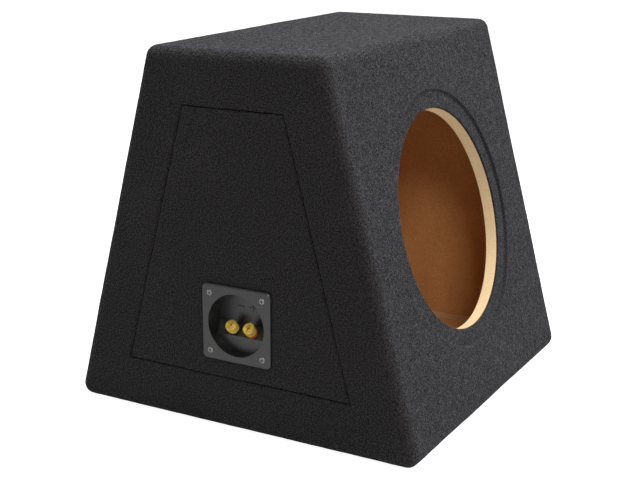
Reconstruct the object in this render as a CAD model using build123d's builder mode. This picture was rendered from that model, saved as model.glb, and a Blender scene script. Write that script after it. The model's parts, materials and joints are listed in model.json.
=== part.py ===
from build123d import *
import math
import os

# Empty sealed loudspeaker box for one 10-inch driver.
# Frame: +Z up, the box stands on Z = 0 with the origin at the centre of its carpeted base.
# The front baffle faces -Y and leans back; the terminal side is at -X. Millimetres.

os.makedirs("parts", exist_ok=True)

# ---------------------------------------------------------------- driving dimensions
# enclosure, measured outside over the carpet
width = 400.0  # along X
depth = 400.0  # along Y, at the base
height = 380.0
lean = 15.0  # degrees that front and back lean in from the vertical
edge_radius = 12.0
carpet = 2.0
board = 15.0  # MDF thickness

# driver opening in the baffle
cutout_radius = 115.0  # standard 10-inch driver cut-out
flange_radius = 133.5  # carpet-lined recess that takes the driver's flange
recess_depth = 3.0
cutout_up_slope = 203.0  # from the bottom front edge to the cut-out's centre, along the slope
cutout_x = -4.0

# carpet kerf in both side boards
kerf_inset = 55.0  # from the outer edges to the kerf's centre line
kerf_gap = 0.6  # between the two tucked carpet edges
kerf_depth = 6.0
tuck_depth = 5.0

# bead of sealant along every inside joint
bead_leg = 5.0

# assembly brads
brad_width = 1.2
brad_thickness = 1.0
brad_length = 32.0
brad_set = 1.0  # head's depth under the board's face
brad_fractions = (0.15, 0.5, 0.85)  # places along each joint

# terminal cup
terminal_y = -4.4
terminal_z = 113.0
terminal_hole_radius = 35.0  # through carpet and side board
gasket = 0.5
plate_size = 78.0
plate_thickness = 2.5
plate_corner = 5.0
plate_bevel = 0.8
cup_radius = 32.0
cup_wall = 2.5
cup_lip = 0.6
cup_depth = 21.5  # plate's front to the flat part of the well's floor
ledge_depth = 11.0  # plate's front to the ledge under the slanted bed
ledge_top = -14.6  # height of the bed's foot, from the cup's centre
bed_angle = 45.0  # degrees between the post bed and the vertical
screw_spacing = 60.0

# raised polarity marks on the well's floor
mark_size = 6.0
mark_spacing = 13.0
mark_stroke = 1.6
mark_height = 0.8
mark_up = 13.0  # above the cup's centre

# screws
screw_radius = 1.6
screw_length = 18.0
screw_head_radius = 2.9
screw_head_rise = 0.4  # how far the oval head stands above the plate
cross_width = 1.1
cross_length = 4.2
cross_depth = 1.3

# binding posts; heights are measured outwards from the bed
post_spacing = 20.3
post_centre = -10.5  # height of the posts' feet, from the cup's centre
ring_radius = 5.8
ring_height = 2.2
ring_web = 0.8
sleeve_radius = 3.0
flange_height = 0.8
stud_flange_radius = 5.0
stud_radius = 3.0
stud_top = 11.6
thread_pitch = 0.8
thread_depth = 0.35
socket_radius = 2.0  # for a 4 mm banana plug
socket_length = 9.6
wire_hole_radius = 0.9
wire_hole_height = 4.7
shank_radius = 2.0
shank_end = -9.0
washer_height = 0.8
clamp_washer_radius = 5.6
nut_radius = 6.0
nut_groove_inner = 3.5
nut_groove_outer = 4.3
nut_groove_depth = 0.9
knurl_count = 24
knurl_depth = 0.35
running = 0.05  # radial clearance of moving parts and of washers
inner_washer_radius = 4.6
tag_thickness = 0.8
tag_radius = 4.0
tag_width = 4.8
tag_length = 18.0
hex_across_flats = 7.0
hex_height = 3.2

# internal leads
lead_radius = 1.3
receptacle_width = 7.0
receptacle_thickness = 2.6
receptacle_length = 8.0
receptacle_start = 12.0  # along the tag, from the stud's axis
barrel_radius = 2.0
barrel_length = 6.0
barrel_grip = 5.0  # length of lead inside the barrel
lead_rise = 34.0  # from the tag's receptacle to the corner over the lead's loop
lead_bend = 13.0  # radius of every corner
lead_rest_height = 19.2  # lead's centre line where it lies on the bottom board
drop_x = -132.0  # corner over the lead's drop to the bottom board
drop_z = 92.0
drop_spread = 6.0  # the two leads part by this much on either side
floor_x = -124.0  # corner where the lead meets the bottom board
floor_drift = 10.0  # towards +Y from the tag
turn_x = -78.0
turn_drift = 20.0
lead_end_x = -25.0
lead_end_drifts = {"red": 24.0, "black": 48.0}

# ---------------------------------------------------------------- worked-out dimensions
lean_rad = math.radians(lean)
bed_rad = math.radians(bed_angle)
half_width = width / 2
core_half_width = half_width - carpet
inner_half_width = core_half_width - board
inner_inset = carpet + board
brad_inset = carpet + board / 2
wrap_edge_inset = kerf_inset - kerf_gap / 2
inlay_edge_inset = kerf_inset + kerf_gap / 2
kerf_outer_inset = wrap_edge_inset - carpet
kerf_inner_inset = inlay_edge_inset + carpet
plate_back_x = -half_width - gasket
plate_front_x = plate_back_x - plate_thickness
post_foot_depth = ledge_depth + (post_centre - ledge_top) * math.tan(bed_rad)
nut_foot = ring_height + flange_height + washer_height


def half_depth(z, inset):
    """Half the depth of the side outline at height z, moved in by inset."""
    return depth / 2 - z * math.tan(lean_rad) - inset / math.cos(lean_rad)


def outline(inset):
    """Corners (y, z) of the side outline, moved in by inset on all four edges."""
    low, high = inset, height - inset
    return [
        (-half_depth(low, inset), low),
        (half_depth(low, inset), low),
        (half_depth(high, inset), high),
        (-half_depth(high, inset), high),
    ]


def save(builder, label):
    """Label a finished piece and write it as one STEP file."""
    builder.part.label = label
    export_step(builder.part, f"parts/{label}.step")


# ---------------------------------------------------------------- placing planes
baffle_normal = (0, -math.cos(lean_rad), math.sin(lean_rad))
cutout_plane = Plane(
    origin=(
        cutout_x,
        -depth / 2 + cutout_up_slope * math.sin(lean_rad),
        cutout_up_slope * math.cos(lean_rad),
    ),
    x_dir=(1, 0, 0),
    z_dir=baffle_normal,
)
# X to the viewer's right, Y up, Z out of the box
plate_plane = Plane(
    origin=(plate_front_x, terminal_y, terminal_z), x_dir=(0, -1, 0), z_dir=(-1, 0, 0)
)
# X up, Y into the box: the cup seen from the side
cup_side_plane = Plane(
    origin=(plate_front_x, terminal_y, terminal_z), x_dir=(0, 0, 1), z_dir=(0, 1, 0)
)


def post_plane(side):
    """Plane on the bed at a post's foot, Z along the post; side is -1 for -Y and 1 for +Y."""
    return Plane(
        origin=(
            plate_front_x + post_foot_depth,
            terminal_y + side * post_spacing / 2,
            terminal_z + post_centre,
        ),
        x_dir=(0, -1, 0),
        z_dir=(-math.cos(bed_rad), 0, math.sin(bed_rad)),
    )


posts = {"red": post_plane(-1), "black": post_plane(1)}

# ---------------------------------------------------------------- construction bodies
# The wooden core and the carpet's outer surface are rounded along every edge,
# and the carpet's radius is the core's radius plus the carpet.
with BuildPart() as outer_block:
    with BuildSketch(Plane.YZ):
        Polygon(*outline(0), align=None)
    extrude(amount=half_width, both=True)
    fillet(outer_block.edges(), radius=edge_radius)

with BuildPart() as core_block:
    with BuildSketch(Plane.YZ):
        Polygon(*outline(carpet), align=None)
    extrude(amount=core_half_width, both=True)
    fillet(core_block.edges(), radius=edge_radius - carpet)

# ---------------------------------------------------------------- brads
corners = outline(brad_inset)
brad_places = [
    (
        start[0] + fraction * (end[0] - start[0]),
        start[1] + fraction * (end[1] - start[1]),
    )
    for start, end in zip(corners, corners[1:] + corners[:1])
    for fraction in brad_fractions
]

with BuildPart() as assembly_brads:
    with BuildSketch(Plane.YZ.offset(core_half_width - brad_set - brad_length)):
        with Locations(*brad_places):
            Rectangle(brad_width, brad_thickness)
    extrude(amount=brad_length)
    mirror(about=Plane.YZ)
save(assembly_brads, "assembly_brads")

# ---------------------------------------------------------------- terminal screws
# The blanks have no cross recess; they also make the screws' holes in the other pieces.
with BuildPart() as screw_blanks:
    with BuildSketch(plate_plane):
        with GridLocations(screw_spacing, screw_spacing, 2, 2):
            Circle(screw_radius)
    extrude(amount=-screw_length)
    with BuildSketch(plate_plane):
        with GridLocations(screw_spacing, screw_spacing, 2, 2):
            Circle(screw_head_radius)
    extrude(amount=-(screw_head_radius - screw_radius), taper=45)
    with BuildSketch(plate_plane):
        with GridLocations(screw_spacing, screw_spacing, 2, 2):
            Circle(screw_head_radius)
    extrude(amount=screw_head_rise)
    head_tops = screw_blanks.faces().filter_by(Axis.X).group_by(Axis.X)[0]
    fillet(head_tops.edges(), radius=screw_head_rise * 0.9)

with BuildPart() as terminal_screws:
    add(screw_blanks.part)
    with BuildSketch(plate_plane.offset(screw_head_rise)):
        with GridLocations(screw_spacing, screw_spacing, 2, 2):
            Rectangle(cross_length, cross_width)
            Rectangle(cross_width, cross_length)
    extrude(amount=-cross_depth, mode=Mode.SUBTRACT)
save(terminal_screws, "terminal_screws")

# ---------------------------------------------------------------- boards
# The side boards cover the ends of the other four. Front and back run from base to top,
# and the top and bottom boards fit between them.
outer_corners = outline(carpet)
inner_corners = outline(inner_inset)


def cross_point(z):
    """Inner face of the front board at height z, as (y, z)."""
    return (-half_depth(z, inner_inset), z)


core_low = carpet
core_high = height - carpet
front_section = [
    outer_corners[0],
    cross_point(core_low),
    cross_point(core_high),
    outer_corners[3],
]
back_section = [(-y, z) for y, z in front_section]


def level_section(low, high):
    """Section (y, z) of a level board that fits between the front and back boards."""
    return [
        cross_point(low),
        cross_point(high),
        (-cross_point(high)[0], high),
        (-cross_point(low)[0], low),
    ]


with BuildPart() as front_baffle:
    with BuildSketch(Plane.YZ):
        Polygon(*front_section, align=None)
    extrude(amount=inner_half_width, both=True)
    add(core_block.part, mode=Mode.INTERSECT)
    with BuildSketch(cutout_plane):
        Circle(flange_radius + carpet)
    extrude(amount=-(carpet + recess_depth), mode=Mode.SUBTRACT)
    with BuildSketch(cutout_plane):
        Circle(cutout_radius)
    extrude(amount=-2 * board, mode=Mode.SUBTRACT)
    add(assembly_brads.part, mode=Mode.SUBTRACT)
save(front_baffle, "front_baffle")

with BuildPart() as back_panel:
    with BuildSketch(Plane.YZ):
        Polygon(*back_section, align=None)
    extrude(amount=inner_half_width, both=True)
    add(core_block.part, mode=Mode.INTERSECT)
    add(assembly_brads.part, mode=Mode.SUBTRACT)
save(back_panel, "back_panel")

with BuildPart() as bottom_panel:
    with BuildSketch(Plane.YZ):
        Polygon(*level_section(core_low, core_low + board), align=None)
    extrude(amount=inner_half_width, both=True)
    add(assembly_brads.part, mode=Mode.SUBTRACT)
save(bottom_panel, "bottom_panel")

with BuildPart() as top_panel:
    with BuildSketch(Plane.YZ):
        Polygon(*level_section(core_high - board, core_high), align=None)
    extrude(amount=inner_half_width, both=True)
    add(assembly_brads.part, mode=Mode.SUBTRACT)
save(top_panel, "top_panel")

with BuildPart() as plain_side_panel:
    with BuildSketch(Plane.YZ.offset(inner_half_width)):
        Polygon(*outline(carpet), align=None)
    extrude(amount=board)
    add(core_block.part, mode=Mode.INTERSECT)
    with BuildSketch(Plane.YZ.offset(core_half_width)):
        Polygon(*outline(kerf_outer_inset), align=None)
        Polygon(*outline(kerf_inner_inset), align=None, mode=Mode.SUBTRACT)
    extrude(amount=-kerf_depth, mode=Mode.SUBTRACT)
    add(assembly_brads.part, mode=Mode.SUBTRACT)
save(plain_side_panel, "plain_side_panel")

with BuildPart() as terminal_side_panel:
    add(mirror(plain_side_panel.part, about=Plane.YZ, mode=Mode.PRIVATE))
    with BuildSketch(plate_plane):
        Circle(terminal_hole_radius)
    extrude(amount=-3 * board, mode=Mode.SUBTRACT)
    add(screw_blanks.part, mode=Mode.SUBTRACT)
save(terminal_side_panel, "terminal_side_panel")

# ---------------------------------------------------------------- sealing bead
with BuildPart() as sealed_cavity:
    with BuildSketch(Plane.YZ):
        Polygon(*outline(inner_inset), align=None)
    extrude(amount=inner_half_width, both=True)
    chamfer(sealed_cavity.edges(), length=bead_leg)

with BuildPart() as sealing_bead:
    with BuildSketch(Plane.YZ):
        Polygon(*outline(inner_inset), align=None)
    extrude(amount=inner_half_width, both=True)
    add(sealed_cavity.part, mode=Mode.SUBTRACT)
save(sealing_bead, "sealing_bead")

# ---------------------------------------------------------------- carpet
with BuildPart() as carpet_wrap:
    add(outer_block.part)
    add(core_block.part, mode=Mode.SUBTRACT)
    # both sides stay open inside the kerf, where the inlays lie
    with BuildSketch(Plane.YZ):
        Polygon(*outline(wrap_edge_inset), align=None)
    extrude(amount=2 * half_width, both=True, mode=Mode.SUBTRACT)
    # edges tucked into the kerfs
    with BuildSketch(Plane.YZ.offset(core_half_width - tuck_depth)):
        Polygon(*outline(kerf_outer_inset), align=None)
        Polygon(*outline(wrap_edge_inset), align=None, mode=Mode.SUBTRACT)
    extrude(amount=tuck_depth)
    with BuildSketch(Plane.YZ.offset(-core_half_width)):
        Polygon(*outline(kerf_outer_inset), align=None)
        Polygon(*outline(wrap_edge_inset), align=None, mode=Mode.SUBTRACT)
    extrude(amount=tuck_depth)
    # carpet pressed down into the flange recess, and cut away over the driver opening
    with BuildSketch(cutout_plane.offset(-carpet)):
        Circle(flange_radius + carpet)
    extrude(amount=-recess_depth)
    with BuildSketch(cutout_plane):
        Circle(flange_radius)
    extrude(amount=-recess_depth, mode=Mode.SUBTRACT)
    with BuildSketch(cutout_plane):
        Circle(cutout_radius)
    extrude(amount=-(carpet + recess_depth), mode=Mode.SUBTRACT)
save(carpet_wrap, "carpet_wrap")

with BuildPart() as carpet_inlay_plain_side:
    with BuildSketch(Plane.YZ.offset(core_half_width)):
        Polygon(*outline(inlay_edge_inset), align=None)
    extrude(amount=carpet)
    with BuildSketch(Plane.YZ.offset(core_half_width)):
        Polygon(*outline(inlay_edge_inset), align=None)
        Polygon(*outline(kerf_inner_inset), align=None, mode=Mode.SUBTRACT)
    extrude(amount=-tuck_depth)
save(carpet_inlay_plain_side, "carpet_inlay_plain_side")

with BuildPart() as carpet_inlay_terminal_side:
    add(mirror(carpet_inlay_plain_side.part, about=Plane.YZ, mode=Mode.PRIVATE))
    with BuildSketch(plate_plane):
        Circle(terminal_hole_radius)
    extrude(amount=-2 * board, mode=Mode.SUBTRACT)
    add(screw_blanks.part, mode=Mode.SUBTRACT)
save(carpet_inlay_terminal_side, "carpet_inlay_terminal_side")

# ---------------------------------------------------------------- terminal cup
bed_rise = (cup_depth - ledge_depth) / math.tan(bed_rad)
well_section = [
    (-cup_radius, -1),
    (-cup_radius, ledge_depth),
    (ledge_top, ledge_depth),
    (ledge_top + bed_rise, cup_depth),
    (cup_radius, cup_depth),
    (cup_radius, -1),
]

with BuildPart() as well:
    with BuildSketch(cup_side_plane):
        Polygon(*well_section, align=None)
    extrude(amount=plate_size, both=True)
    with BuildSketch(plate_plane.offset(1)):
        Circle(cup_radius)
    extrude(amount=-2 * cup_depth, mode=Mode.INTERSECT)

with BuildPart() as cup_shell:
    with BuildSketch(cup_side_plane):
        Polygon(*well_section, align=None)
        offset(amount=cup_wall, kind=Kind.INTERSECTION)
    extrude(amount=plate_size, both=True)
    with BuildSketch(plate_plane.offset(-plate_thickness / 2)):
        Circle(cup_radius + cup_wall)
    extrude(amount=-2 * cup_depth, mode=Mode.INTERSECT)

with BuildPart() as terminal_cup:
    with BuildSketch(plate_plane):
        RectangleRounded(plate_size, plate_size, plate_corner)
    extrude(amount=-plate_thickness)
    front_face = terminal_cup.faces().sort_by(Axis.X)[0]
    chamfer(front_face.edges(), length=plate_bevel)
    add(cup_shell.part)
    add(well.part, mode=Mode.SUBTRACT)
    lip = terminal_cup.edges().filter_by(GeomType.CIRCLE).sort_by(Axis.X)[0]
    fillet(lip, radius=cup_lip)
    # a raised plus by the red post and a raised minus by the black one
    with BuildSketch(plate_plane.offset(-cup_depth)):
        with Locations((mark_spacing / 2, mark_up)):
            Rectangle(mark_size, mark_stroke)
            Rectangle(mark_stroke, mark_size)
        with Locations((-mark_spacing / 2, mark_up)):
            Rectangle(mark_size, mark_stroke)
    extrude(amount=mark_height)
    for plane in posts.values():
        with BuildSketch(plane):
            Circle(sleeve_radius + running)
        extrude(amount=-2 * cup_wall, mode=Mode.SUBTRACT)
    add(screw_blanks.part, mode=Mode.SUBTRACT)
save(terminal_cup, "terminal_cup")

with BuildPart() as terminal_gasket:
    with BuildSketch(plate_plane.offset(-plate_thickness)):
        RectangleRounded(plate_size - 2, plate_size - 2, plate_corner - 1)
        Circle(terminal_hole_radius, mode=Mode.SUBTRACT)
    extrude(amount=-gasket)
    add(screw_blanks.part, mode=Mode.SUBTRACT)
save(terminal_gasket, "terminal_gasket")

# ---------------------------------------------------------------- binding posts
barrel_foot = ring_height + flange_height
thread_turns = math.floor((stud_top - nut_foot) / thread_pitch)


def thread_outline():
    """Radius and height of the stud's ribbed barrel, from its foot up."""
    points = [(stud_radius, barrel_foot), (stud_radius, nut_foot)]
    for turn in range(thread_turns):
        foot = nut_foot + turn * thread_pitch
        points.append((stud_radius - thread_depth, foot + thread_pitch / 2))
        points.append((stud_radius, foot + thread_pitch))
    return points


def ring_section(inner, outer, low, high):
    """Draw the half section of a plain ring on the current sketch."""
    Polygon((inner, low), (outer, low), (outer, high), (inner, high), align=None)


def half_section_plane(plane):
    """Plane through a post's axis, with X outwards from the axis and Y along it."""
    return Plane(origin=plane.origin, x_dir=plane.x_dir, z_dir=-plane.y_dir)


for colour, plane in posts.items():
    section = half_section_plane(plane)
    axis = Axis(plane.origin, plane.z_dir)

    with BuildPart() as insulating_ring:
        with BuildSketch(section):
            Polygon(
                (shank_radius + running, -cup_wall),
                (sleeve_radius, -cup_wall),
                (sleeve_radius, 0),
                (ring_radius, 0),
                (ring_radius, ring_height),
                (stud_radius + running, ring_height),
                (stud_radius + running, ring_web),
                (shank_radius + running, ring_web),
                align=None,
            )
        revolve(axis=axis)
    save(insulating_ring, f"{colour}_insulating_ring")

    with BuildPart() as post_stud:
        with BuildSketch(section):
            Polygon(
                (0, shank_end),
                (shank_radius, shank_end),
                (shank_radius, ring_web),
                (stud_radius, ring_web),
                (stud_radius, ring_height),
                (stud_flange_radius, ring_height),
                (stud_flange_radius, barrel_foot),
                *thread_outline(),
                (stud_radius - thread_depth, stud_top),
                (socket_radius, stud_top),
                (socket_radius, stud_top - socket_length),
                (0, stud_top - socket_length),
                align=None,
            )
        revolve(axis=axis)
        with BuildSketch(section.offset(-stud_radius)):
            with Locations((0, wire_hole_height)):
                Circle(wire_hole_radius)
        extrude(amount=2 * stud_radius, mode=Mode.SUBTRACT)
    save(post_stud, f"{colour}_post_stud")

    with BuildPart() as clamp_washer:
        with BuildSketch(section):
            ring_section(stud_radius + running, clamp_washer_radius, barrel_foot, nut_foot)
        revolve(axis=axis)
    save(clamp_washer, f"{colour}_clamp_washer")

    with BuildPart() as thumb_nut:
        with BuildSketch(section):
            ring_section(stud_radius + running, nut_radius, nut_foot, stud_top)
        revolve(axis=axis)
        outer_rims = thumb_nut.edges().filter_by(
            lambda edge: edge.geom_type == GeomType.CIRCLE and edge.radius > nut_radius - running
        )
        chamfer(outer_rims, length=knurl_depth)
        with BuildSketch(plane.offset(stud_top)):
            Circle(nut_groove_outer)
            Circle(nut_groove_inner, mode=Mode.SUBTRACT)
        extrude(amount=-nut_groove_depth, mode=Mode.SUBTRACT)
        with BuildSketch(plane.offset(nut_foot)):
            with PolarLocations(nut_radius, knurl_count):
                Rectangle(2 * knurl_depth, 2 * knurl_depth, rotation=45)
        extrude(amount=stud_top - nut_foot, mode=Mode.SUBTRACT)
    save(thumb_nut, f"{colour}_thumb_nut")

    washer_top = -cup_wall
    tag_top = washer_top - washer_height
    tag_bottom = tag_top - tag_thickness

    with BuildPart() as inner_washer:
        with BuildSketch(section):
            ring_section(shank_radius + running, inner_washer_radius, tag_top, washer_top)
        revolve(axis=axis)
    save(inner_washer, f"{colour}_inner_washer")

    with BuildPart() as blade_tag:
        with BuildSketch(plane.offset(tag_bottom)):
            Circle(tag_radius)
            with Locations((0, tag_length / 2)):
                Rectangle(tag_width, tag_length)
            Circle(shank_radius + running, mode=Mode.SUBTRACT)
        extrude(amount=tag_thickness)
    save(blade_tag, f"{colour}_blade_tag")

    with BuildPart() as hex_nut:
        with BuildSketch(plane.offset(tag_bottom)):
            RegularPolygon(hex_across_flats / 2, 6, major_radius=False)
            Circle(shank_radius + running, mode=Mode.SUBTRACT)
        extrude(amount=-hex_height)
    save(hex_nut, f"{colour}_hex_nut")

    # lead: straight out of the tag's receptacle, over in a loop, down to the bottom board
    # and along it, and straight into the driver's receptacle
    tag_middle = plane.offset((tag_top + tag_bottom) / 2)
    tag_line = tag_middle.y_dir
    lead_start = tag_middle.origin + tag_line * (
        receptacle_start + receptacle_length + barrel_length - barrel_grip
    )
    post_y = lead_start.Y
    side = math.copysign(1, post_y - terminal_y)
    lead_turn = Vector(turn_x, post_y + turn_drift, lead_rest_height)
    lead_end = Vector(lead_end_x, post_y + lead_end_drifts[colour], lead_rest_height)
    end_line = (lead_end - lead_turn).normalized()
    with BuildPart() as lead:
        with BuildLine():
            FilletPolyline(
                lead_start,
                lead_start + tag_line * lead_rise,
                Vector(drop_x, post_y + side * drop_spread, drop_z),
                Vector(floor_x, post_y + floor_drift, lead_rest_height),
                lead_turn,
                lead_end,
                radius=lead_bend,
            )
        with BuildSketch(Plane(origin=lead_start, z_dir=tag_line)):
            Circle(lead_radius)
        sweep()
    save(lead, f"{colour}_lead")

    # push-on receptacle planes: Z along the lead's run out of the receptacle, X across the blade
    seats = [
        Plane(
            origin=tag_middle.origin + tag_line * receptacle_start,
            x_dir=plane.x_dir,
            z_dir=tag_line,
        ),
        Plane(
            origin=lead_end + end_line * (receptacle_length + barrel_length - barrel_grip),
            x_dir=Vector(0, 0, 1).cross(end_line),
            z_dir=-end_line,
        ),
    ]
    with BuildPart() as receptacles:
        for seat in seats:
            with BuildSketch(seat):
                RectangleRounded(receptacle_width, receptacle_thickness, lead_radius - 0.2)
            extrude(amount=receptacle_length)
            with BuildSketch(seat.offset(receptacle_length)):
                Circle(barrel_radius)
            extrude(amount=barrel_length)
            with BuildSketch(seat):
                Rectangle(tag_width + 0.2, tag_thickness + 0.1)
            extrude(amount=receptacle_length - 1, mode=Mode.SUBTRACT)
            with BuildSketch(seat.offset(receptacle_length + barrel_length)):
                Circle(lead_radius + running)
            extrude(amount=-barrel_grip, mode=Mode.SUBTRACT)
    save(receptacles, f"{colour}_receptacles")
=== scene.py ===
"""Empty carpeted loudspeaker box: felt carpet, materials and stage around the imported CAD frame.

Metres, +Z up, the box stands on Z = 0. The slanted baffle faces -Y, the terminal side -X.
"""

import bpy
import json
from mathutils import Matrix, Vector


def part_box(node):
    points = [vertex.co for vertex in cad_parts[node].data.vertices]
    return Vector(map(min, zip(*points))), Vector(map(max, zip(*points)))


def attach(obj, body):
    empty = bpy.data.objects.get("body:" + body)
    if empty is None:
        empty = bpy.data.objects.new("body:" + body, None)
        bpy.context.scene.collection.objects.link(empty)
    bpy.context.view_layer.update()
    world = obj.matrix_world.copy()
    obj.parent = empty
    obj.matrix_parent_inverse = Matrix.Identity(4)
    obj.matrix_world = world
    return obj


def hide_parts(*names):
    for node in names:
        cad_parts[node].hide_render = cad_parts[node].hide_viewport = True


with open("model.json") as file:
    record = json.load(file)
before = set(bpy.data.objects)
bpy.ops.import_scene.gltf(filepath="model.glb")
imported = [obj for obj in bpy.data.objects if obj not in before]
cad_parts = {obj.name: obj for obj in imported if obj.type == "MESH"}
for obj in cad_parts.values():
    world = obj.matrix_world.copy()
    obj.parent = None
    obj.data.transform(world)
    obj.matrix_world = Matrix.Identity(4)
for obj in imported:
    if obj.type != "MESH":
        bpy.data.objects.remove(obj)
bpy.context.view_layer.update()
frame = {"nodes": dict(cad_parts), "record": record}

import json
import math

import bmesh
import bpy
from mathutils import Matrix, Vector, noise

# ---------------------------------------------------------------- sizes taken from the frame
MOUNTS = {mount["name"]: mount for mount in frame["record"]["mounts"]}
SIDE_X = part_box("carpet_wrap")[1].x  # outer face of the carpet on both sides
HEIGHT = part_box("carpet_wrap")[1].z
CUTOUT_RADIUS = MOUNTS["driver_cutout"]["dims"]["r_mm"] / 1000
CUTOUT_POINT = Vector(MOUNTS["driver_cutout"]["pos_m"])
BAFFLE_NORMAL = Vector(MOUNTS["driver_cutout"]["axis"])
LEAN = math.asin(BAFFLE_NORMAL.z)
POST_AXIS = Vector(MOUNTS["red_banana_socket"]["axis"])
PLATE_LOW, PLATE_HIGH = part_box("terminal_gasket")
CUP_CENTRE = (PLATE_LOW + PLATE_HIGH) / 2

# ---------------------------------------------------------------- sizes of the soft goods
BASE_DEPTH = 0.400  # between the front's and the back's base edges, before rounding
EDGE_RADIUS = 0.012  # of the box's edges, over the carpet
CARPET = 0.002
CARPET_SHEET = 0.0018  # thickness of the modelled sheet, just clear of the boards
FLANGE_RADIUS = 0.1335
RECESS = 0.003  # depth of the flange recess in the felt
RECESS_STEP = 0.0014  # half the width of the soft step down into it
CUT_ROLL = 0.0011  # radius of the felt's cut edge at the driver opening
CUT_EDGE_RADIUS = CUTOUT_RADIUS + 0.0004  # the felt is cut a little wider than the board
BOARD_CLEARANCE = 0.0001  # between the felt's cut edge and the board behind it
KERF_INSET = 0.055  # from the side's outline in to the middle of the kerf
KERF_HALF_GAP = 0.0003
KERF_ROLL = 0.0027  # radius of a felt edge that rolls down into a kerf
TUCK_DEPTH = 0.005
TUCK_GAP = 0.00002  # the tucked edges all but touch at the kerf's bottom
CUP_HOLE_RADIUS = 0.036
MITRE_DEPTHS = (0.0002, 0.0001, 0.0001, 0.0004)  # front low, back low, back high, front high
MITRE_HALF_WIDTH = 0.0012
MITRE_INSET = 0.6 * EDGE_RADIUS  # where a mitre starts, in from the side's outline
MITRE_REACH = 0.45 * EDGE_RADIUS  # how far it goes round the edge, down from the side's face

# ---------------------------------------------------------------- fineness of the felt meshes
CELL = 0.003  # side of a mesh cell on the flats
CORNER_CELLS = (0.0008, 0.002)  # first points beside a corner, along an edge
CORNER_STEPS = 6  # between two edges of the side outline
EDGE_STEPS = 7  # round the box's long edges
KERF_STEPS = 4
CUT_STEPS = 3
RECESS_STEPS = 10
FRONT_RINGS = 36  # from the front's border in to the flange recess
FRONT_RING_POWER = 0.85  # below 1 the rings lie closer together towards the recess
INLAY_RINGS = 70  # from the inlay's border in to the cup's hole
INLAY_COUNTS = (88, 96)  # cells along an inlay's level edges and along its slanted ones
WELD_DISTANCE = 0.00002


# ---------------------------------------------------------------- small mesh helpers
def mesh_object(name, bm, material, smooth=True):
    """Turn a bmesh into an object of the scene with one material."""
    mesh = bpy.data.meshes.new(name)
    bm.to_mesh(mesh)
    bm.free()
    for polygon in mesh.polygons:
        polygon.use_smooth = smooth
    mesh.materials.append(material)
    piece = bpy.data.objects.new(name, mesh)
    bpy.context.scene.collection.objects.link(piece)
    return piece


def add_rows(bm, rows, closed=False, skip=None):
    """Quads between neighbouring rows of points; skip(row, column) leaves a quad out."""
    grid = [[bm.verts.new(point) for point in row] for row in rows]
    columns = len(rows[0]) - (0 if closed else 1)
    for r in range(len(grid) - 1):
        for c in range(columns):
            if skip and skip(r, c):
                continue
            d = (c + 1) % len(rows[0])
            bm.faces.new((grid[r][c], grid[r][d], grid[r + 1][d], grid[r + 1][c]))


def weld(bm):
    """Merge coincident points, drop collapsed faces and let all faces agree on their outside."""
    bmesh.ops.remove_doubles(bm, verts=bm.verts, dist=WELD_DISTANCE)
    bmesh.ops.dissolve_degenerate(bm, edges=bm.edges, dist=WELD_DISTANCE)
    bm.normal_update()
    bmesh.ops.recalc_face_normals(bm, faces=bm.faces)


def quarter_turn(count):
    """Angles of a quarter turn in even steps, ends included."""
    return [math.pi / 2 * i / count for i in range(count + 1)]


# ---------------------------------------------------------------- outline of the box
# outward normals of the side outline's edges: bottom, back, top, front
EDGE_NORMALS = [
    Vector((0, 0, -1)),
    Vector((0, math.cos(LEAN), math.sin(LEAN))),
    Vector((0, 0, 1)),
    Vector((0, -math.cos(LEAN), math.sin(LEAN))),
]
FRONT_EDGE = 3


def outline(inset):
    """Corners of the side outline moved in by inset: front low, back low, back high, front high."""

    def reach(z):
        return BASE_DEPTH / 2 - z * math.tan(LEAN) - inset / math.cos(LEAN)

    low, high = inset, HEIGHT - inset
    return [
        Vector((0, -reach(low), low)),
        Vector((0, reach(low), low)),
        Vector((0, reach(high), high)),
        Vector((0, -reach(high), high)),
    ]


def edge_fractions(k):
    """Places along edge k: close together by the corners, even between them."""
    corners = outline(EDGE_RADIUS)
    length = (corners[(k + 1) % 4] - corners[k]).length
    near = [0.0] + [distance / length for distance in CORNER_CELLS]
    count = round((length - 2 * CORNER_CELLS[-1]) / CELL)
    even = [near[-1] + (1 - 2 * near[-1]) * i / count for i in range(1, count)]
    return near + even + [1 - f for f in reversed(near)]


def stations():
    """(edge, fraction, normal) all the way round: every edge, then the arc to the next edge."""
    result = []
    for k in range(4):
        result += [(k, fraction, EDGE_NORMALS[k]) for fraction in edge_fractions(k)]
        following = EDGE_NORMALS[(k + 1) % 4]
        for step in range(1, CORNER_STEPS):
            result.append((k, 1.0, EDGE_NORMALS[k].slerp(following, step / CORNER_STEPS)))
    return result


STATIONS = stations()


def loop(inset, x, out=0.0):
    """One closed row of points: the outline at inset, pushed out along the station normals."""
    corners = outline(inset)
    row = []
    for k, fraction, normal in STATIONS:
        point = corners[k].lerp(corners[(k + 1) % 4], fraction) + normal * out
        row.append(Vector((x, point.y, point.z)))
    return row


# ---------------------------------------------------------------- felt surface
# (noise cells per metre, height) of the felt's slack, its lumps and its fibre clumps
UNEVENNESS = ((11.0, 0.00030), (90.0, 0.00014), (420.0, 0.00013))


def felt_height(point):
    """How far the felt's surface stands proud at a point."""
    return sum(noise.noise(point * cells) * height for cells, height in UNEVENNESS)


def roughen(bm):
    """Move the felt's points along their normals by felt_height."""
    bm.normal_update()
    moves = [vert.normal * felt_height(vert.co) for vert in bm.verts]
    for vert, move in zip(bm.verts, moves):
        vert.co += move


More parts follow.
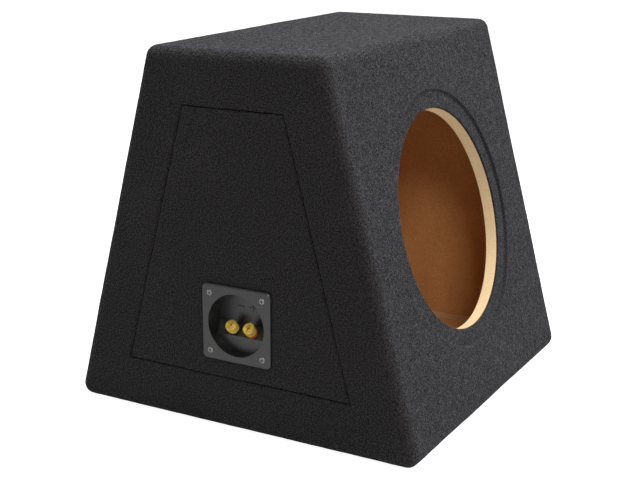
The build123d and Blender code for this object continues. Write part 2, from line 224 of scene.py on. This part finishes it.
def felt_piece(name, bm, material, node):
    """Finish a sheet: uneven surface, thickness inwards, and the CAD node that it replaces."""
    roughen(bm)
    piece = mesh_object(name, bm, material)
    solid = piece.modifiers.new("thickness", "SOLIDIFY")
    solid.thickness = CARPET_SHEET
    solid.offset = -1
    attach(piece, "enclosure")
    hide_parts(node)


def kerf_roll(towards):
    """(inset, depth) from the kerf's bottom up over a rolled edge: -1 for the wrap, 1 for an inlay."""
    points = [(KERF_INSET + towards * TUCK_GAP, TUCK_DEPTH)]
    for angle in quarter_turn(KERF_STEPS):
        away = KERF_HALF_GAP + KERF_ROLL - KERF_ROLL * math.cos(angle)
        points.append((KERF_INSET + towards * away, KERF_ROLL - KERF_ROLL * math.sin(angle)))
    return points


def margin_rows(side):
    """Rows of the wrap from one kerf over the side margin and round the box's edge."""
    rolled = kerf_roll(-1)
    rows = [loop(inset, side * (SIDE_X - depth)) for inset, depth in rolled]
    flat = rolled[-1][0] - EDGE_RADIUS
    count = round(flat / CELL)
    rows += [loop(EDGE_RADIUS + flat * (1 - i / count), side * SIDE_X) for i in range(1, count)]
    for angle in quarter_turn(EDGE_STEPS):
        x = side * (SIDE_X - EDGE_RADIUS + EDGE_RADIUS * math.cos(angle))
        rows.append(loop(EDGE_RADIUS, x, out=EDGE_RADIUS * math.sin(angle)))
    return rows


def circle_frame():
    """Centre of the driver opening on the carpet's outer face, and the two axes of that face."""
    front_point = outline(0)[0]
    height = (CUTOUT_POINT - front_point).dot(BAFFLE_NORMAL)
    centre = CUTOUT_POINT - BAFFLE_NORMAL * height
    across = Vector((1, 0, 0))
    return centre, across, BAFFLE_NORMAL.cross(across)


def opening_profile():
    """(radius, depth) from the flat face over the recess's step and floor to the cut edge."""
    points = []
    for i in range(RECESS_STEPS + 1):
        share = i / RECESS_STEPS
        radius = FLANGE_RADIUS + RECESS_STEP - 2 * RECESS_STEP * share
        points.append((radius, RECESS * (0.5 - 0.5 * math.cos(math.pi * share))))
    floor_start = FLANGE_RADIUS - RECESS_STEP
    floor_end = CUT_EDGE_RADIUS + CUT_ROLL
    span = floor_start - floor_end
    count = round(span / CELL)
    points += [(floor_start - span * i / count, RECESS) for i in range(1, count)]
    for angle in quarter_turn(CUT_STEPS):
        depth = RECESS + CUT_ROLL - CUT_ROLL * math.cos(angle)
        points.append((floor_end - CUT_ROLL * math.sin(angle), depth))
    points.append((CUT_EDGE_RADIUS, RECESS + CARPET - BOARD_CLEARANCE))
    return points


def front_patch(bm, boundary):
    """Fill the flat front between its rectangular boundary and the driver opening."""
    centre, across, up = circle_frame()
    profile = opening_profile()
    first_radius = profile[0][0]
    shares = [(i / FRONT_RINGS) ** FRONT_RING_POWER for i in range(FRONT_RINGS)]
    spokes = []
    for point in boundary:
        local = point - centre
        direction = (across * local.dot(across) + up * local.dot(up)).normalized()
        start = centre + direction * first_radius
        spoke = [point.lerp(start, share) for share in shares]
        spoke += [centre + direction * radius - BAFFLE_NORMAL * depth for radius, depth in profile]
        spokes.append(spoke)
    rows = [list(row) for row in zip(*spokes)]
    add_rows(bm, rows, closed=True)


def build_wrap(material):
    """The one sheet round front, top, back and bottom, with its margins tucked into both kerfs."""
    bm = bmesh.new()
    left = margin_rows(-1)
    right = list(reversed(margin_rows(1)))
    flat_half = SIDE_X - EDGE_RADIUS
    count = round(2 * flat_half / CELL)
    middle = [
        loop(EDGE_RADIUS, -flat_half + 2 * flat_half * i / count, out=EDGE_RADIUS)
        for i in range(1, count)
    ]
    rows = left + middle + right
    low_row, high_row = len(left) - 1, len(left) + len(middle)
    front = (FRONT_EDGE, EDGE_NORMALS[FRONT_EDGE])
    flat_front = [(k, normal) == front for k, _, normal in STATIONS]
    first = flat_front.index(True)
    last = first + sum(flat_front) - 1

    def in_front(r, c):
        return low_row <= r < high_row and first <= c < last

    add_rows(bm, rows, closed=True, skip=in_front)
    boundary = [rows[low_row][c] for c in range(first, last)]
    boundary += [rows[r][last] for r in range(low_row, high_row)]
    boundary += [rows[high_row][c] for c in range(last, first, -1)]
    boundary += [rows[r][first] for r in range(high_row, low_row, -1)]
    front_patch(bm, boundary)
    weld(bm)
    crease_mitres(bm)
    felt_piece("felt_wrap", bm, material, "carpet_wrap")


def crease_mitres(bm):
    """Press in the slits where the sheet is cut and meets itself at the corners of the margins."""
    outer, inner = outline(MITRE_INSET), outline(KERF_INSET)
    for vert in bm.verts:
        if abs(vert.co.x) < SIDE_X - MITRE_REACH:
            continue
        flat = Vector((0, vert.co.y, vert.co.z))
        for start, end, depth in zip(outer, inner, MITRE_DEPTHS):
            run = end - start
            along = (flat - start).dot(run) / run.length_squared
            away = (flat - start - run * along).length
            if 0.0 <= along <= 1.0 and away < MITRE_HALF_WIDTH:
                vert.co.x -= math.copysign(depth * (1 - away / MITRE_HALF_WIDTH), vert.co.x)


def build_inlay(name, node, side, material, hole_centre=None):
    """The loose panel inside a kerf, with its edge tucked down all round and the cup's hole if any."""
    bm = bmesh.new()
    rolled = kerf_roll(1)
    border = [inlay_loop(inset, side * (SIDE_X - depth)) for inset, depth in rolled]
    if hole_centre:
        centre = Vector((side * SIDE_X, hole_centre.y, hole_centre.z))
        outer = border[-1]
        inner = [centre + (point - centre).normalized() * CUP_HOLE_RADIUS for point in outer]
        for i in range(1, INLAY_RINGS + 1):
            border.append([a.lerp(b, i / INLAY_RINGS) for a, b in zip(outer, inner)])
    add_rows(bm, border, closed=True)
    if not hole_centre:
        fill_inlay(bm, rolled[-1][0], side * SIDE_X)
    weld(bm)
    face_out(bm, Vector((side, 0, 0)))
    felt_piece(name, bm, material, node)


def inlay_loop(inset, x):
    """One closed row round the inlay, with the same number of cells on opposite edges."""
    corners = outline(inset)
    row = []
    for k in range(4):
        count = INLAY_COUNTS[k % 2]
        for i in range(count):
            point = corners[k].lerp(corners[(k + 1) % 4], i / count)
            row.append(Vector((x, point.y, point.z)))
    return row


def fill_inlay(bm, inset, x):
    """A plain grid over the whole panel."""
    front_low, back_low, back_high, front_high = outline(inset)
    level, slanted = INLAY_COUNTS
    rows = []
    for j in range(slanted + 1):
        start = front_low.lerp(front_high, j / slanted)
        end = back_low.lerp(back_high, j / slanted)
        row = [start.lerp(end, i / level) for i in range(level + 1)]
        rows.append([Vector((x, point.y, point.z)) for point in row])
    add_rows(bm, rows)


def face_out(bm, direction):
    """Turn all faces over if most of them look against direction."""
    bm.normal_update()
    total = sum((face.normal * face.calc_area() for face in bm.faces), Vector())
    if total.dot(direction) < 0:
        bmesh.ops.reverse_faces(bm, faces=bm.faces)


# ---------------------------------------------------------------- material helpers
def set_inputs(tree, node, inputs):
    """Set several inputs of a node; a value is a constant or a socket to link from."""
    for key, value in inputs.items():
        if isinstance(value, bpy.types.NodeSocket):
            tree.links.new(value, node.inputs[key])
        else:
            node.inputs[key].default_value = value


def add(tree, kind, inputs=None, **properties):
    """Add a shader node with its properties and inputs."""
    made = tree.nodes.new(kind)
    for key, value in properties.items():
        setattr(made, key, value)
    set_inputs(tree, made, inputs or {})
    return made


def new_material(name):
    """A material with its node tree, its Principled node and object coordinates."""
    material = bpy.data.materials.new(name)
    material.use_nodes = True
    tree = material.node_tree
    coords = add(tree, "ShaderNodeTexCoord").outputs["Object"]
    return material, tree, tree.nodes["Principled BSDF"], coords


def fac_noise(tree, coords, scale, detail=2.0, roughness=0.5):
    """Grey noise from 0 to 1."""
    inputs = {"Vector": coords, "Scale": scale, "Detail": detail, "Roughness": roughness}
    return add(tree, "ShaderNodeTexNoise", inputs).outputs["Fac"]


def ramp(tree, factor, stops):
    """Colour ramp with (position, (r, g, b)) stops."""
    made = add(tree, "ShaderNodeValToRGB", {"Fac": factor})
    elements = made.color_ramp.elements
    while len(elements) < len(stops):
        elements.new(0.5)
    for element, (position, colour) in zip(elements, stops):
        element.position = position
        element.color = (*colour, 1.0)
    return made.outputs["Color"]


def grey_ramp(tree, factor, stops):
    """Ramp of greys with (position, level) stops."""
    return ramp(tree, factor, [(position, (level, level, level)) for position, level in stops])


MIX_FACTOR, MIX_A, MIX_B, MIX_RESULT = 0, 6, 7, 2  # sockets of a Mix node that mixes colours


def mix_colour(tree, factor, a, b, blend="MIX"):
    """Mix two colour sockets."""
    inputs = {MIX_FACTOR: factor, MIX_A: a, MIX_B: b}
    made = add(tree, "ShaderNodeMix", inputs, data_type="RGBA", blend_type=blend)
    return made.outputs[MIX_RESULT]


def multiply(tree, first, *others):
    """Product of colour sockets."""
    for other in others:
        first = mix_colour(tree, 1.0, first, other, "MULTIPLY")
    return first


def grey(tree, value):
    """A grey colour from a number."""
    channels = {"Red": value, "Green": value, "Blue": value}
    return add(tree, "ShaderNodeCombineColor", channels).outputs["Color"]


def maths(tree, operation, a, b=0.0, c=0.0):
    """One maths node."""
    return add(tree, "ShaderNodeMath", {0: a, 1: b, 2: c}, operation=operation).outputs[0]


def alignment(tree, direction):
    """How squarely a surface faces along direction or against it: 1 fully, 0 side on."""
    normal = add(tree, "ShaderNodeNewGeometry").outputs["Normal"]
    inputs = {0: normal, 1: direction}
    facing = add(tree, "ShaderNodeVectorMath", inputs, operation="DOT_PRODUCT")
    return maths(tree, "ABSOLUTE", facing.outputs["Value"])


def bump(tree, height, distance, strength, normal=None):
    """Bump of a height socket, distance in metres."""
    inputs = {"Height": height, "Distance": distance, "Strength": strength}
    if normal:
        inputs["Normal"] = normal
    return add(tree, "ShaderNodeBump", inputs).outputs["Normal"]


def rounded_normal(tree, radius):
    """Normal that rounds sharp CAD edges off, for highlights along them."""
    return add(tree, "ShaderNodeBevel", {"Radius": radius}, samples=4).outputs["Normal"]


# ---------------------------------------------------------------- materials
FIBRE_TURNS = ((0.0, 0.0, 0.4), (0.9, 0.3, 1.3), (0.4, 1.2, 2.2), (1.5, 0.7, 0.1), (0.2, 2.1, 0.9))
# noise cells per metre
FIBRE_ALONG = 260.0
FIBRE_ACROSS = 2600.0
CLUMPS = 680.0
TUFTS = 190.0
PATCHES = 14.0
# tone by noise level: between and on strands, between and on clumps, worn and fresh patches
STRAND_TONES = ((0.45, (0.55, 0.55, 0.55)), (0.78, (1.35, 1.34, 1.36)))
CLUMP_TONES = ((0.37, (0.42, 0.42, 0.42)), (0.63, (1.62, 1.62, 1.64)))
PATCH_TONES = ((0.3, 0.93), (0.7, 1.07))
# by angle of view, from 0 straight on to 1 along the surface: the felt's colour with painted sheen and
# painted shade, which make the side, front and top differ in tone, and a painted sheen tint, warm
# straight on and cool at low angles
PAINTED_SHEEN_BY_ANGLE = ((0.1, 0.0142), (0.45, 0.0285), (0.7, 0.0205), (0.9, 0.0500))
PAINTED_SHEEN_TINT_BY_ANGLE = ((0.1, (1.09, 0.99, 0.95)), (0.6, (0.99, 0.985, 1.07)))
# how far tufts and clumps swing the brightness, and the share of it by angle of view: painted fibre
# shade and sheen that grow as the felt is seen at a lower angle
TUFT_GAIN = 3.4
TUFT_SHARE = ((0.2, 0.0), (0.5, 0.15), (0.65, 0.3), (0.85, 1.0))
CLUMP_GAIN = 1.7
CLUMP_SHARE = ((0.2, 0.0), (0.5, 1.0))


def fibres(tree, coords):
    """Crossing fibres: noise stretched along several directions, the highest one showing."""
    stretch = (FIBRE_ALONG, FIBRE_ACROSS, FIBRE_ACROSS)
    highest = None
    for turn in FIBRE_TURNS:
        inputs = {"Vector": coords, "Rotation": turn, "Scale": stretch}
        mapping = add(tree, "ShaderNodeMapping", inputs)
        layer = fac_noise(tree, mapping.outputs["Vector"], 1.0, detail=1.0)
        highest = maths(tree, "MAXIMUM", highest, layer) if highest else layer
    return highest


def felt():
    """Needle-punched carpet: charcoal fibres whose fuzz catches more light at a low angle, painted into
    the colour as sheen and shade by angle of view.
    """
    material, tree, shader, coords = new_material("felt_carpet")
    strands = fibres(tree, coords)
    clumps = fac_noise(tree, coords, CLUMPS, detail=2.0, roughness=0.6)
    tufts = fac_noise(tree, coords, TUFTS, detail=3.0, roughness=0.7)
    patches = fac_noise(tree, coords, PATCHES, detail=3.0)
    height = maths(tree, "MULTIPLY_ADD", clumps, 1.5, strands)
    normal = bump(tree, height, 0.0006, 0.8)
    layer_weight = add(tree, "ShaderNodeLayerWeight", {"Blend": 0.5, "Normal": normal})
    angle = layer_weight.outputs["Facing"]
    grain_and_painted_fibre_shading = 1.0
    # the swing of tufts and clumps grows with the angle of view: painted fibre shade and sheen over the
    # grain
    for cells, gain, shares in ((tufts, TUFT_GAIN, TUFT_SHARE), (clumps, CLUMP_GAIN, CLUMP_SHARE)):
        swing = maths(tree, "MULTIPLY", maths(tree, "SUBTRACT", cells, 0.5), gain)
        grain_and_painted_fibre_shading = maths(tree, "MULTIPLY_ADD", swing, grey_ramp(tree, angle, shares), grain_and_painted_fibre_shading)
    # strands, clumps and patches are the felt's own grain; the tint, the angle ramp and the
    # angle-weighted swing paint sheen and shade into the colour
    colour = multiply(
        tree,
        ramp(tree, strands, STRAND_TONES),
        ramp(tree, clumps, CLUMP_TONES),
        grey_ramp(tree, patches, PATCH_TONES),
        ramp(tree, angle, PAINTED_SHEEN_TINT_BY_ANGLE),
        grey_ramp(tree, angle, PAINTED_SHEEN_BY_ANGLE),
        grey(tree, grain_and_painted_fibre_shading),
    )
    look = {"Base Color": colour, "Roughness": 0.95, "Specular IOR Level": 0.1, "Normal": normal}
    set_inputs(tree, shader, look)
    return material


ROUTED_REACH = 0.004  # the cut face lies within this of the opening's radius


def fibreboard():
    """MDF: brown pressed faces, paler fluffy fibres where the opening was routed."""
    material, tree, shader, coords = new_material("fibreboard")
    fleck = fac_noise(tree, coords, 900.0, detail=4.0, roughness=0.7)
    cloud = fac_noise(tree, coords, 22.0, detail=4.0)
    face = multiply(
        tree,
        ramp(tree, cloud, [(0.3, (0.50, 0.236, 0.084)), (0.7, (0.585, 0.292, 0.106))]),
        ramp(tree, fleck, [(0.35, (0.74, 0.72, 0.66)), (0.65, (1.2, 1.2, 1.2))]),
    )
    cut = multiply(
        tree,
        ramp(tree, fleck, [(0.25, (0.62, 0.44, 0.23)), (0.6, (0.81, 0.625, 0.38))]),
        ramp(tree, cloud, [(0.35, (0.93, 0.92, 0.9)), (0.7, (1.04, 1.04, 1.04))]),
    )
    centre, _, _ = circle_frame()
    offset = add(tree, "ShaderNodeVectorMath", {0: coords, 1: centre}, operation="DISTANCE")
    near = maths(tree, "LESS_THAN", offset.outputs["Value"], CUTOUT_RADIUS + ROUTED_REACH)
    across_board = maths(tree, "LESS_THAN", alignment(tree, BAFFLE_NORMAL), 0.5)
    routed = maths(tree, "MULTIPLY", across_board, near)
    height = maths(tree, "MULTIPLY", fleck, maths(tree, "MULTIPLY_ADD", routed, 0.8, 0.2))
    look = {
        "Base Color": mix_colour(tree, routed, face, cut),
        "Roughness": maths(tree, "MULTIPLY_ADD", routed, 0.25, 0.6),
        "Specular IOR Level": 0.3,
        "Normal": bump(tree, height, 0.0004, 0.8),
    }
    set_inputs(tree, shader, look)
    return material


def sealant():
    """Dried bead of sealant, close to the board in colour, with a soft sheen."""
    material, tree, shader, coords = new_material("sealant")
    wander = fac_noise(tree, coords, 60.0, detail=3.0)
    pits = fac_noise(tree, coords, 900.0)
    browns = [(0.3, (0.44, 0.225, 0.095)), (0.7, (0.50, 0.27, 0.12))]
    look = {
        "Base Color": ramp(tree, wander, browns),
        "Roughness": 0.5,
        "Normal": bump(tree, pits, 0.0002, 0.6),
    }
    set_inputs(tree, shader, look)
    return material


def shaded(colour, factor):
    """A colour made darker or lighter, at most white."""
    return tuple(min(1.0, channel * factor) for channel in colour)


PLASTIC_EDGE = 0.0003  # radius of the rounding that plastic edges show
METAL_EDGE = 0.00015
SCRATCHES = (400.0, 3500.0, 3500.0)  # noise cells per metre along and across the scratches
SCRATCH_DEPTH = 0.00002
BARREL_LIMIT = 0.6  # surfaces less aligned with the post than this are its barrel


def moulded_plastic(name, colour, roughness, grain=0.00004, shine=0.45):
    """Moulded plastic with a fine texture and slightly uneven gloss."""
    material, tree, shader, coords = new_material(name)
    texture = fac_noise(tree, coords, 2600.0, detail=2.0)
    handling = fac_noise(tree, coords, 70.0, detail=5.0, roughness=0.6)
    look = {
        "Base Color": ramp(tree, handling, [(0.35, shaded(colour, 0.85)), (0.7, shaded(colour, 1.15))]),
        "Roughness": maths(tree, "MULTIPLY_ADD", handling, 0.12, roughness - 0.06),
        "Specular IOR Level": shine,
        "Normal": bump(tree, texture, grain, 1.0, rounded_normal(tree, PLASTIC_EDGE)),
    }
    set_inputs(tree, shader, look)
    return material


def metal(name, colour, roughness, plating=1.0, knurled=0.0):
    """Plated metal with fine scratches and a little tarnish; knurled adds roughness to barrels."""
    material, tree, shader, coords = new_material(name)
    mapping = add(tree, "ShaderNodeMapping", {"Vector": coords, "Scale": SCRATCHES})
    lines = fac_noise(tree, mapping.outputs["Vector"], 1.0, detail=2.0)
    tarnish = fac_noise(tree, coords, 260.0, detail=4.0)
    gloss = maths(tree, "MULTIPLY_ADD", tarnish, 0.15, roughness - 0.05)
    if knurled:
        barrel = maths(tree, "LESS_THAN", alignment(tree, POST_AXIS), BARREL_LIMIT)
        gloss = maths(tree, "MULTIPLY_ADD", barrel, knurled, gloss)
        plating = maths(tree, "MULTIPLY_ADD", barrel, -knurled, plating)
    look = {
        "Base Color": ramp(tree, tarnish, [(0.3, shaded(colour, 0.72)), (0.55, colour)]),
        "Metallic": plating,
        "Roughness": gloss,
        "Normal": bump(tree, lines, SCRATCH_DEPTH, 0.6, rounded_normal(tree, METAL_EDGE)),
    }
    set_inputs(tree, shader, look)
    return material


def dress(material, *nodes):
    """Give CAD nodes a finished material."""
    for node in nodes:
        data = frame["nodes"][node].data
        data.materials.clear()
        data.materials.append(material)


BOARDS = (
    "front_baffle",
    "back_panel",
    "top_panel",
    "bottom_panel",
    "terminal_side_panel",
    "plain_side_panel",
)


def dress_box():
    """Materials of the boards and of what joins and seals them."""
    dress(fibreboard(), *BOARDS)
    dress(sealant(), "sealing_bead")
    dress(metal("brad_wire", (0.55, 0.55, 0.56), 0.35), "assembly_brads")


def dress_terminal():
    """Materials of the terminal cup, its gasket and its screws."""
    dress(moulded_plastic("cup_plastic", (0.0022, 0.0018, 0.0016), 0.38, shine=0.88), "terminal_cup")
    dress(moulded_plastic("gasket_foam", (0.03, 0.03, 0.03), 0.9, grain=0.0002), "terminal_gasket")
    dress(metal("dark_zinc", (0.30, 0.30, 0.28), 0.28), "terminal_screws")


POST_COLOURS = {"red": (0.55, 0.06, 0.03), "black": (0.012, 0.012, 0.012)}


def dress_posts():
    """Materials of both binding posts, their hardware inside the box and their leads."""
    gold = metal("gold_plate", (1.0, 0.73, 0.15), 0.2, plating=0.75, knurled=0.25)
    tin = metal("tin_plate", (0.72, 0.70, 0.66), 0.35)
    zinc = metal("zinc_plate", (0.62, 0.60, 0.55), 0.35)
    fibre = moulded_plastic("vulcanised_fibre", (0.30, 0.07, 0.04), 0.7, grain=0.00008)
    for side, colour in POST_COLOURS.items():
        dress(gold, f"{side}_post_stud", f"{side}_clamp_washer", f"{side}_thumb_nut")
        dress(tin, f"{side}_blade_tag", f"{side}_receptacles")
        dress(zinc, f"{side}_hex_nut")
        dress(fibre, f"{side}_inner_washer")
        ring = moulded_plastic(f"{side}_ring_plastic", colour, 0.3, grain=0.00001)
        dress(ring, f"{side}_insulating_ring")
        dress(moulded_plastic(f"{side}_sleeve", colour, 0.38, grain=0.00002), f"{side}_lead")


# ---------------------------------------------------------------- stage
CAMERA_PLACE = Vector((-1.1893, -0.6335, 0.5264))
CAMERA_AIM = Vector((0.0, 0.0578, 0.1425))
CAMERA_ROLL = math.radians(-0.17)
CAMERA_LENS = 71.3
CAMERA_SHIFT = 0.055
FLOOR_REACH = 12.0
FLOOR_LEVEL = -0.0004  # just under the lowest fibres of the base
PAPER_GLOW = 0.92  # lifts the floor to white for the camera
SURROUND = 0.3  # brightness of the white room, as the box sees it
WHITE = (1.0, 1.0, 1.0, 1.0)


def build_camera():
    """Camera at the height and side from which the terminal side and the baffle both show."""
    data = bpy.data.cameras.new("camera")
    data.lens = CAMERA_LENS
    data.sensor_width = 36.0
    data.shift_x = CAMERA_SHIFT
    data.clip_start = 0.05
    data.clip_end = 60.0
    camera = bpy.data.objects.new("camera", data)
    look = (CAMERA_AIM - CAMERA_PLACE).to_track_quat("-Z", "Y").to_matrix().to_4x4()
    camera.matrix_world = (
        Matrix.Translation(CAMERA_PLACE) @ look @ Matrix.Rotation(CAMERA_ROLL, 4, "Z")
    )
    bpy.context.scene.collection.objects.link(camera)
    bpy.context.scene.camera = camera


def build_floor():
    """Plain pale floor that reads as white paper to the camera and stays calm as a reflector."""
    bm = bmesh.new()
    low, high = -FLOOR_REACH, FLOOR_REACH
    corners = [(low, low), (high, low), (high, high), (low, high)]
    bm.faces.new([bm.verts.new((x, y, FLOOR_LEVEL)) for x, y in corners])
    material, tree, shader, _ = new_material("paper_floor")
    set_inputs(tree, shader, {"Base Color": (0.45, 0.45, 0.45, 1.0), "Roughness": 0.9})
    glow = add(tree, "ShaderNodeEmission", {"Color": WHITE, "Strength": PAPER_GLOW})
    seen = add(tree, "ShaderNodeAddShader", {0: shader.outputs[0], 1: glow.outputs[0]})
    reflector = add(tree, "ShaderNodeBsdfDiffuse", {"Color": (0.6, 0.6, 0.6, 1.0)})
    from_camera = add(tree, "ShaderNodeLightPath").outputs["Is Camera Ray"]
    inputs = {0: from_camera, 1: reflector.outputs[0], 2: seen.outputs[0]}
    mixed = add(tree, "ShaderNodeMixShader", inputs)
    set_inputs(tree, tree.nodes["Material Output"], {"Surface": mixed.outputs[0]})
    floor = mesh_object("floor", bm, material, smooth=False)


def area_light(name, place, aim, size, power):
    """A soft square light."""
    data = bpy.data.lights.new(name, "AREA")
    data.shape = "SQUARE"
    data.size = size
    data.energy = power
    light = bpy.data.objects.new(name, data)
    light.location = place
    light.rotation_euler = (Vector(aim) - Vector(place)).to_track_quat("-Z", "Y").to_euler()
    bpy.context.scene.collection.objects.link(light)


def build_lights():
    """Pale room with a soft key before the baffle, a wide light overhead and a fill by the camera."""
    area_light("key", (0.2, -2.2, 2.6), (0.0, 0.0, 0.2), size=1.2, power=86.0)
    area_light("top", (0.0, 0.0, 2.8), (0.0, 0.0, 0.3), size=2.0, power=66.0)
    area_light("fill", (-1.6, -1.4, 1.9), (0.0, 0.0, 0.2), size=0.8, power=26.0)
    world = bpy.data.worlds.new("studio")
    bpy.context.scene.world = world
    world.use_nodes = True
    tree = world.node_tree
    from_camera = add(tree, "ShaderNodeLightPath").outputs["Is Camera Ray"]
    level = maths(tree, "MULTIPLY_ADD", from_camera, 1.0 - SURROUND, SURROUND)
    set_inputs(tree, tree.nodes["Background"], {"Strength": level, "Color": WHITE})
    bpy.context.scene.view_settings.view_transform = "Standard"


# ---------------------------------------------------------------- build
carpet = felt()
build_wrap(carpet)
build_inlay("felt_inlay_terminal_side", "carpet_inlay_terminal_side", -1, carpet, CUP_CENTRE)
build_inlay("felt_inlay_plain_side", "carpet_inlay_plain_side", 1, carpet)
dress_box()
dress_terminal()
dress_posts()
build_camera()
build_floor()
build_lights()
